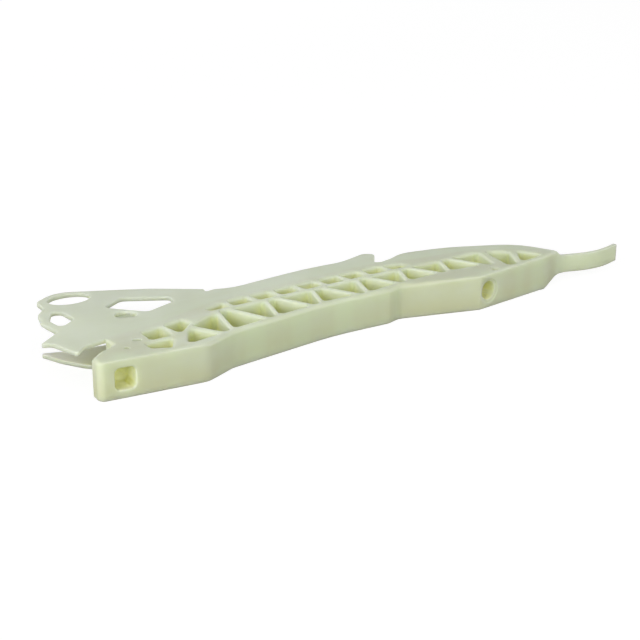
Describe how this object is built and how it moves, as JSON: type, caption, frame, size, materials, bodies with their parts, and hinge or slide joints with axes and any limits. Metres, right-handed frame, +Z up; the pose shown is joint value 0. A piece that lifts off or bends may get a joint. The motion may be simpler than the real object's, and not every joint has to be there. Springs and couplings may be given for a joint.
{
  "type": "timing chain guide",
  "caption": "Moulded timing chain guide: a ribbed curved body with a sliding rail between two cheeks, a square arm with a socket, an eared head plate and a thin curved tongue.",
  "frame": {"origin": "middle of the overall box, on the underside that the guide lies on", "axes": "+X along the guide from the arm to the tongue, +Y from the near wall to the chain side, +Z up through the thickness, across the chain"},
  "size_m": [0.418, 0.1308, 0.0225],
  "materials": {
    "nylon": "natural ivory-green nylon, satin, slightly translucent"
  },
  "bodies": {
    "root": {"chain_guide": "nylon"}
  },
  "joints": []
}
